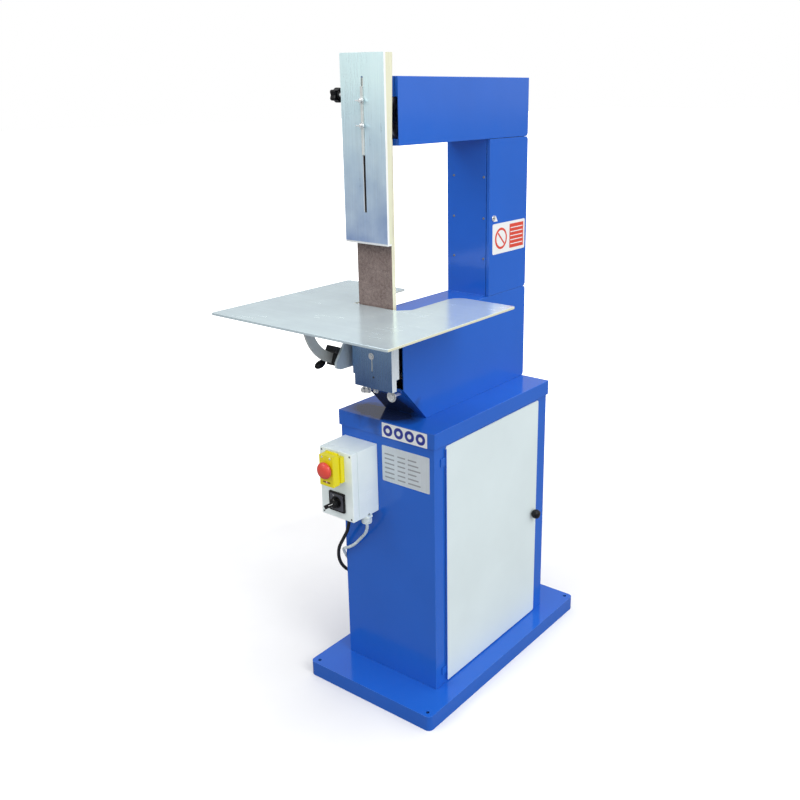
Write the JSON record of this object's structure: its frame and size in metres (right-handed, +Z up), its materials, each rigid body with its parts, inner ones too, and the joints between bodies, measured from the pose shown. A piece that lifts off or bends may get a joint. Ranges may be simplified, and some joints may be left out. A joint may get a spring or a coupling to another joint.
{
  "type": "vertical belt grinder",
  "caption": "Floor-standing vertical belt grinder: C-frame on a cabinet, abrasive belt on wheels, platen, sliding guards and a tilting notched table.",
  "frame": {"origin": "middle of the underside of the base tray, on the floor", "axes": "+X to the operator's right, +Y away from the operator, +Z up"},
  "size_m": [0.51, 0.8775, 1.554],
  "materials": {
    "blue_paint": "gloss",
    "grey_white_paint": "satin",
    "box_plastic": "matte",
    "galvanised": "satin",
    "table_steel": "satin",
    "machined_steel": "satin",
    "wheel_aluminium": "satin",
    "cast_iron": "matte",
    "motor_paint": "matte",
    "abrasive": "matte",
    "rubber": "matte",
    "black_plastic": "gloss",
    "yellow_plastic": "gloss",
    "red_plastic": "gloss",
    "green_plastic": "gloss",
    "grey_sheath": "satin"
  },
  "bodies": {
    "stand": {"base_tray": "blue_paint", "cabinet_body": "blue_paint", "cabinet_cap": "blue_paint", "door_hinge_pin": "blue_paint", "frame_shell": "blue_paint", "arm_hinge_pin": "blue_paint", "column_hinge_pin": "blue_paint", "lower_hinge_pin": "blue_paint", "lower_front_axle": "machined_steel", "bearing_housing": "cast_iron", "pulley_guard": "blue_paint", "v_belt": "rubber", "motor_body": "motor_paint", "motor_stand": "galvanised", "abrasive_belt": "abrasive", "platen": "machined_steel", "guard_bracket": "galvanised", "casing_bracket": "galvanised", "tilt_bracket": "galvanised", "clamp_block": "cast_iron", "pivot_pin": "machined_steel", "pivot_lug": "machined_steel", "control_box": "box_plastic", "box_lid": "box_plastic", "estop_base": "yellow_plastic", "switch_plate": "black_plastic", "black_cable": "rubber", "grey_cable": "grey_sheath"},
    "door": {"cabinet_door": "grey_white_paint"},
    "door_knob": {"door_knob": "black_plastic"},
    "arm_cover": {"arm_cover": "blue_paint"},
    "column_cover": {"column_cover": "blue_paint"},
    "cover_latch": {"cover_latch": "machined_steel"},
    "lower_cover": {"lower_cover": "blue_paint"},
    "tracking_block": {"tracking_block": "cast_iron", "upper_front_axle": "machined_steel"},
    "tracking_knob": {"tracking_knob": "black_plastic"},
    "upper_front_wheel": {"upper_front_wheel": "wheel_aluminium"},
    "tension_slide": {"tension_slide": "machined_steel", "tension_spring": "machined_steel"},
    "tension_lever": {"tension_lever": "cast_iron"},
    "upper_rear_wheel": {"upper_rear_wheel": "wheel_aluminium"},
    "lower_front_wheel": {"lower_front_wheel": "wheel_aluminium"},
    "drive_wheel": {"drive_wheel": "wheel_aluminium", "drive_shaft": "machined_steel", "driven_pulley": "cast_iron"},
    "motor_rotor": {"motor_shaft": "machined_steel", "motor_pulley": "cast_iron"},
    "upper_guard": {"upper_guard": "galvanised"},
    "upper_guard_screw": {"upper_guard_screw": "machined_steel"},
    "lower_guard_screw": {"lower_guard_screw": "machined_steel"},
    "lower_casing": {"lower_casing": "galvanised"},
    "table": {"work_table": "table_steel", "trunnion_arc": "machined_steel"},
    "clamp_lever": {"clamp_lever": "black_plastic"},
    "estop_flap": {"estop_flap": "yellow_plastic"},
    "estop_mushroom": {"estop_mushroom": "red_plastic"},
    "start_button": {"start_button": "green_plastic"},
    "stop_button": {"stop_button": "red_plastic"},
    "switch_handle": {"switch_handle": "black_plastic"}
  },
  "joints": [
    {"name": "door_hinge", "type": "hinge", "parent": "stand", "child": "door", "pos_m": [0.1487, -0.2086, 0.3635], "axis": [0, 0, -1], "range_deg": [0, 110]},
    {"name": "door_knob_turn", "type": "hinge", "parent": "door", "child": "door_knob", "pos_m": [0.16, 0.187, 0.358], "axis": [-1, 0, 0], "range_deg": [0, 90]},
    {"name": "arm_cover_hinge", "type": "hinge", "parent": "stand", "child": "arm_cover", "pos_m": [0.0605, 0.2592, 1.438], "axis": [0, 0, 1], "range_deg": [0, 110]},
    {"name": "column_cover_hinge", "type": "hinge", "parent": "stand", "child": "column_cover", "pos_m": [0.0605, 0.2592, 1.172], "axis": [0, 0, 1], "range_deg": [0, 110]},
    {"name": "lower_cover_hinge", "type": "hinge", "parent": "stand", "child": "lower_cover", "pos_m": [0.0605, 0.2592, 0.853], "axis": [0, 0, 1], "range_deg": [0, 110]},
    {"name": "cover_latch_turn", "type": "hinge", "parent": "column_cover", "child": "cover_latch", "pos_m": [0.06, 0.103, 1.173], "axis": [1, 0, 0], "range_deg": [0, 90]},
    {"name": "tracking_tilt", "type": "hinge", "parent": "stand", "child": "tracking_block", "pos_m": [-0.08, -0.222, 1.408], "axis": [0, 1, 0], "range_deg": [-0.2, 0.8]},
    {"name": "tracking_knob_turn", "type": "hinge", "parent": "tracking_block", "child": "tracking_knob", "pos_m": [-0.129, -0.24, 1.468], "axis": [1, 0, 0], "range_deg": [-75, 300]},
    {"name": "upper_front_wheel_spin", "type": "hinge", "parent": "tracking_block", "child": "upper_front_wheel", "pos_m": [0, -0.2181, 1.4236], "axis": [1, 0, 0], "continuous": true},
    {"name": "tension_travel", "type": "slide", "parent": "stand", "child": "tension_slide", "axis": [0, 0, 1], "range_m": [-0.016, 0]},
    {"name": "tension_lever_swing", "type": "hinge", "parent": "stand", "child": "tension_lever", "pos_m": [-0.053, 0.1881, 1.24], "axis": [-1, 0, 0], "range_deg": [0, 90]},
    {"name": "upper_rear_wheel_spin", "type": "hinge", "parent": "tension_slide", "child": "upper_rear_wheel", "pos_m": [0, 0.1881, 1.43], "axis": [1, 0, 0], "continuous": true},
    {"name": "lower_front_wheel_spin", "type": "hinge", "parent": "stand", "child": "lower_front_wheel", "pos_m": [0, -0.2111, 0.893], "axis": [1, 0, 0], "continuous": true},
    {"name": "drive_spin", "type": "hinge", "parent": "stand", "child": "drive_wheel", "pos_m": [0, 0.1761, 0.812], "axis": [1, 0, 0], "continuous": true},
    {"name": "motor_spin", "type": "hinge", "parent": "stand", "child": "motor_rotor", "pos_m": [-0.031, 0.105, 0.335], "axis": [1, 0, 0], "continuous": true},
    {"name": "upper_guard_travel", "type": "slide", "parent": "stand", "child": "upper_guard", "axis": [0, 0, 1], "range_m": [-0.018, 0.118]},
    {"name": "upper_guard_screw_turn", "type": "hinge", "parent": "stand", "child": "upper_guard_screw", "pos_m": [0, -0.3, 1.458], "axis": [0, 1, 0], "continuous": true},
    {"name": "lower_guard_screw_turn", "type": "hinge", "parent": "stand", "child": "lower_guard_screw", "pos_m": [0, -0.3, 1.407], "axis": [0, 1, 0], "continuous": true},
    {"name": "lower_casing_travel", "type": "slide", "parent": "stand", "child": "lower_casing", "axis": [0, 0, 1], "range_m": [0, 0.03]},
    {"name": "table_tilt", "type": "hinge", "parent": "stand", "child": "table", "pos_m": [0, -0.277, 0.986], "axis": [1, 0, 0], "range_deg": [0, 45]},
    {"name": "clamp_lever_turn", "type": "hinge", "parent": "stand", "child": "clamp_lever", "pos_m": [-0.125, -0.304, 0.885], "axis": [1, 0, 0], "range_deg": [-60, 60]},
    {"name": "estop_flap_hinge", "type": "hinge", "parent": "stand", "child": "estop_flap", "pos_m": [-0.079, -0.3528, 0.6615], "axis": [1, 0, 0], "range_deg": [-110, 0]},
    {"name": "estop_push", "type": "slide", "parent": "estop_flap", "child": "estop_mushroom", "axis": [0, 1, 0], "range_m": [0, 0.0025]},
    {"name": "start_push", "type": "slide", "parent": "stand", "child": "start_button", "axis": [0, 1, 0], "range_m": [0, 0.0025]},
    {"name": "stop_push", "type": "slide", "parent": "stand", "child": "stop_button", "axis": [0, 1, 0], "range_m": [0, 0.0025]},
    {"name": "switch_turn", "type": "hinge", "parent": "stand", "child": "switch_handle", "pos_m": [-0.08, -0.3533, 0.5305], "axis": [0, 1, 0], "range_deg": [0, 90]}
  ],
  "couplings": [
    {"joint": "tracking_tilt", "follows": "tracking_knob_turn", "ratio": 0.002653},
    {"joint": "tension_travel", "follows": "tension_lever_swing", "m_per_rad": -0.010186},
    {"joint": "upper_front_wheel_spin", "follows": "drive_spin", "ratio": 1.3208},
    {"joint": "upper_rear_wheel_spin", "follows": "drive_spin", "ratio": 1.2069},
    {"joint": "lower_front_wheel_spin", "follows": "drive_spin", "ratio": 1.1667},
    {"joint": "motor_spin", "follows": "drive_spin", "ratio": 1.2941},
    {"joint": "stop_push", "follows": "estop_push", "ratio": 1}
  ]
}
